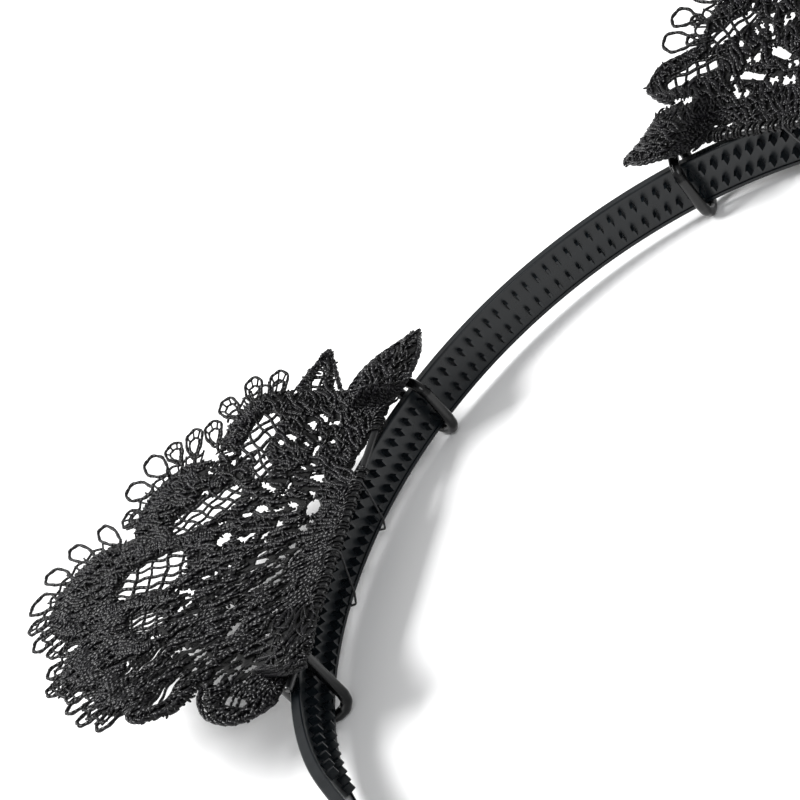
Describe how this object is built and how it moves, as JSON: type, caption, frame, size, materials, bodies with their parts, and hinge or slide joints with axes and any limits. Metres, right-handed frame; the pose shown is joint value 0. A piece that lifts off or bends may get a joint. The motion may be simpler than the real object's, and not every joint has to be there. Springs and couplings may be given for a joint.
{
  "type": "animal ears headband",
  "caption": "Toothed plastic hair band with a pair of cupped lace cat ears held by rings and thread ties.",
  "frame": {"origin": "on the table under the middle of the object's footprint, as it lies flat on its rings", "axes": "+X towards the right ear, +Y from the tips towards the crown, +Z across the width of the band, up from the table"},
  "size_m": [0.1918, 0.1322, 0.0204],
  "materials": {
    "band": "moulded, semi-gloss black",
    "lace": "embroidered thread lace, black",
    "wire": "coated wire, satin black",
    "ring": "smooth, glossy black",
    "thread": "sewing thread, black"
  },
  "bodies": {
    "hair_band": {"hair_band": "band"},
    "left_rings": {"left_inner_ring": "ring", "left_outer_ring": "ring", "left_upper_tie": "thread", "left_lower_tie": "thread"},
    "left_ear": {"left_lace": "lace", "left_base_wire": "wire"},
    "right_rings": {"right_inner_ring": "ring", "right_outer_ring": "ring", "right_upper_tie": "thread", "right_lower_tie": "thread"},
    "right_ear": {"right_lace": "lace", "right_base_wire": "wire"}
  },
  "joints": [
    {"name": "left_ear_slide", "type": "hinge", "parent": "hair_band", "child": "left_rings", "pos_m": [0.0059, -0.01725, 0.0065], "axis": [0, 0, 1], "range_deg": [-2.5, 2.5]},
    {"name": "left_ear_tilt", "type": "hinge", "parent": "left_rings", "child": "left_ear", "pos_m": [-0.04791, 0.02266, 0.0121], "axis": [0.5493, 0.8356, 0], "range_deg": [-12, 35]},
    {"name": "right_ear_slide", "type": "hinge", "parent": "hair_band", "child": "right_rings", "pos_m": [-0.0059, -0.01725, 0.0065], "axis": [0, 0, -1], "range_deg": [-2.5, 2.5]},
    {"name": "right_ear_tilt", "type": "hinge", "parent": "right_rings", "child": "right_ear", "pos_m": [0.04791, 0.02266, 0.0121], "axis": [0.5493, -0.8356, 0], "range_deg": [-12, 35]}
  ]
}
